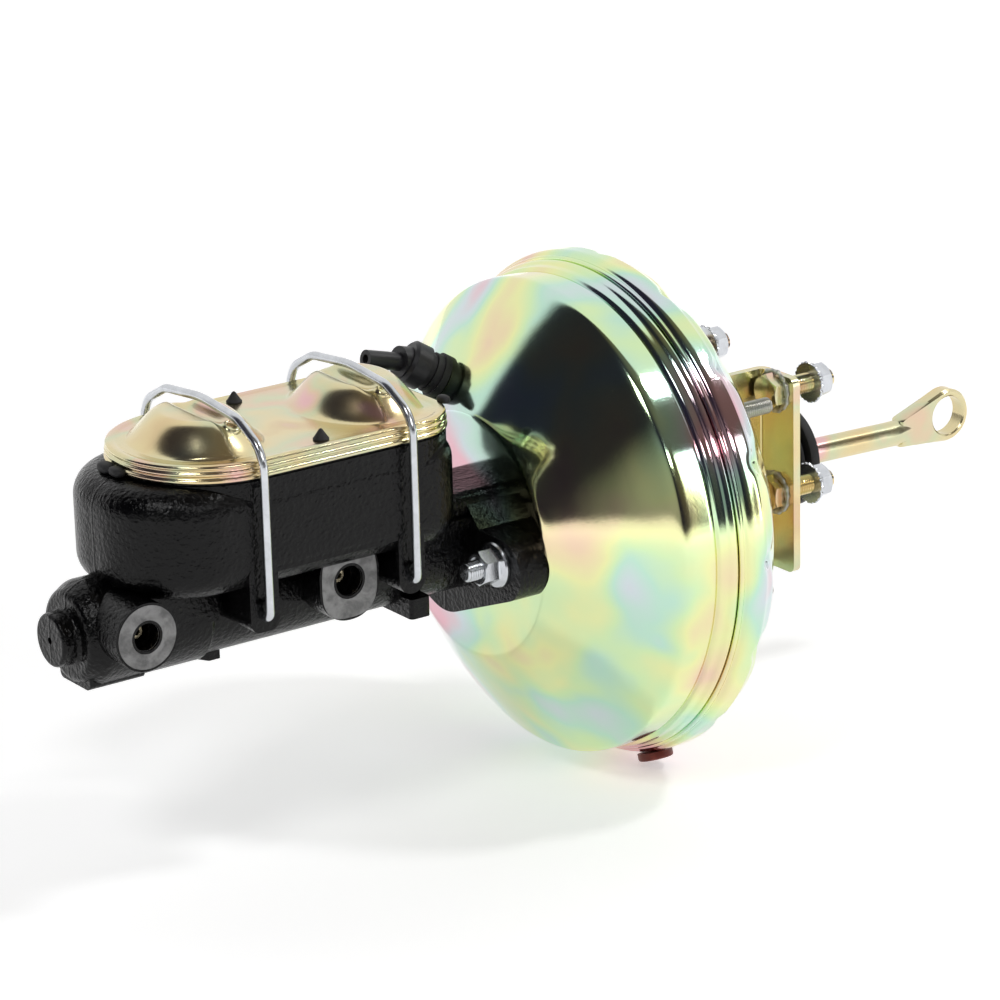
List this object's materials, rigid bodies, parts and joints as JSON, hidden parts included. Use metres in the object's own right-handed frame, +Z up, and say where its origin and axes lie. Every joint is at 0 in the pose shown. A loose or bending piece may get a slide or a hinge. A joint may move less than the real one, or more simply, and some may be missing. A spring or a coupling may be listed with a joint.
{
  "type": "vacuum brake booster with tandem master cylinder",
  "caption": "Vacuum brake booster with a tandem master cylinder, firewall brackets and pedal rod.",
  "frame": {"origin": "on the booster's axis, in the firewall plane at the rear faces of the two bracket plates", "axes": "+X along the booster's axis towards the brake pedal, +Z up, +Y to the left of someone who looks along +X"},
  "size_m": [0.5297, 0.244, 0.244],
  "materials": {
    "cast_iron_black": "gloss",
    "yellow_zinc": "satin",
    "bright_zinc": "satin",
    "plain_steel": "satin",
    "black_rubber": "satin",
    "red_rubber": "satin",
    "black_plastic": "satin",
    "brass": "satin",
    "aluminium": "satin",
    "foam": "matte"
  },
  "bodies": {
    "housing": {"master_cylinder_body": "cast_iron_black", "reservoir_lid": "yellow_zinc", "lid_gasket": "black_rubber", "tube_seats": "brass", "piston_stop_screw": "bright_zinc", "piston_snap_ring": "bright_zinc", "cylinder_studs": "bright_zinc", "cylinder_nuts": "bright_zinc", "front_seal": "black_rubber", "front_shell": "yellow_zinc", "rear_shell": "yellow_zinc", "rubber_plug": "red_rubber", "stud_plate": "yellow_zinc", "rear_studs": "plain_steel", "rear_stud_nuts": "bright_zinc", "bracket_left": "yellow_zinc", "bracket_right": "yellow_zinc", "firewall_bolts": "plain_steel", "firewall_nuts": "bright_zinc", "rear_hub_seal": "black_rubber", "valve_grommet": "black_rubber", "boot": "black_rubber", "power_return_spring": "plain_steel", "diaphragm": "black_rubber"},
    "front_bail": {"front_bail": "bright_zinc"},
    "rear_bail": {"rear_bail": "bright_zinc"},
    "check_valve": {"check_valve": "black_plastic"},
    "power_piston": {"valve_body": "black_plastic", "valve_key": "plain_steel", "reaction_disc": "black_rubber", "output_rod": "plain_steel", "output_rod_retainer": "plain_steel", "diaphragm_plate": "yellow_zinc", "poppet": "black_rubber", "poppet_retainer": "plain_steel", "poppet_spring": "plain_steel", "air_filter": "foam", "silencer": "foam", "valve_return_spring": "plain_steel"},
    "valve_plunger": {"valve_plunger": "plain_steel"},
    "pedal_rod": {"pedal_rod": "yellow_zinc", "spring_seat": "bright_zinc"},
    "primary_piston": {"primary_piston": "aluminium", "primary_cups": "black_rubber", "primary_spring_retainer": "plain_steel", "primary_spring": "plain_steel"},
    "secondary_piston": {"secondary_piston": "aluminium", "secondary_cups": "black_rubber", "secondary_spring_retainer": "plain_steel", "secondary_spring": "plain_steel"}
  },
  "joints": [
    {"name": "power_stroke", "type": "slide", "parent": "housing", "child": "power_piston", "axis": [-1, 0, 0], "range_m": [0, 0.034], "stiffness_N_per_m": 1500, "springref_m": -0.02, "deforming": ["power_return_spring", "diaphragm", "boot"]},
    {"name": "primary_slide", "type": "slide", "parent": "housing", "child": "primary_piston", "axis": [-1, 0, 0], "range_m": [0, 0.034], "deforming": ["primary_spring"]},
    {"name": "secondary_slide", "type": "slide", "parent": "housing", "child": "secondary_piston", "axis": [-1, 0, 0], "range_m": [0, 0.016], "deforming": ["secondary_spring", "primary_spring"]},
    {"name": "plunger_travel", "type": "slide", "parent": "power_piston", "child": "valve_plunger", "axis": [-1, 0, 0], "range_m": [0, 0.0015], "stiffness_N_per_m": 3000, "springref_m": -0.01, "deforming": ["poppet_spring", "valve_return_spring"]},
    {"name": "pedal_rod_pitch", "type": "hinge", "parent": "valve_plunger", "child": "pedal_rod", "pos_m": [-0.0345, 0, 0], "axis": [0, -1, 0], "range_deg": [-2.4, 5.6], "deforming": ["valve_return_spring", "boot"]},
    {"name": "front_bail_swing", "type": "hinge", "parent": "housing", "child": "front_bail", "pos_m": [-0.2965, 0, 0.005], "axis": [0, -1, 0], "range_deg": [0, 75]},
    {"name": "rear_bail_swing", "type": "hinge", "parent": "housing", "child": "rear_bail", "pos_m": [-0.218, 0, 0.005], "axis": [0, 1, 0], "range_deg": [-12, 20]},
    {"name": "check_valve_turn", "type": "hinge", "parent": "housing", "child": "check_valve", "pos_m": [-0.14382, 0.03583, 0.06598], "axis": [-0.8102, 0.2797, 0.5151], "range_deg": [-15, 15]}
  ],
  "couplings": [
    {"joint": "primary_slide", "follows": "power_stroke", "ratio": 1},
    {"joint": "secondary_slide", "follows": "power_stroke", "ratio": 0.47059}
  ]
}
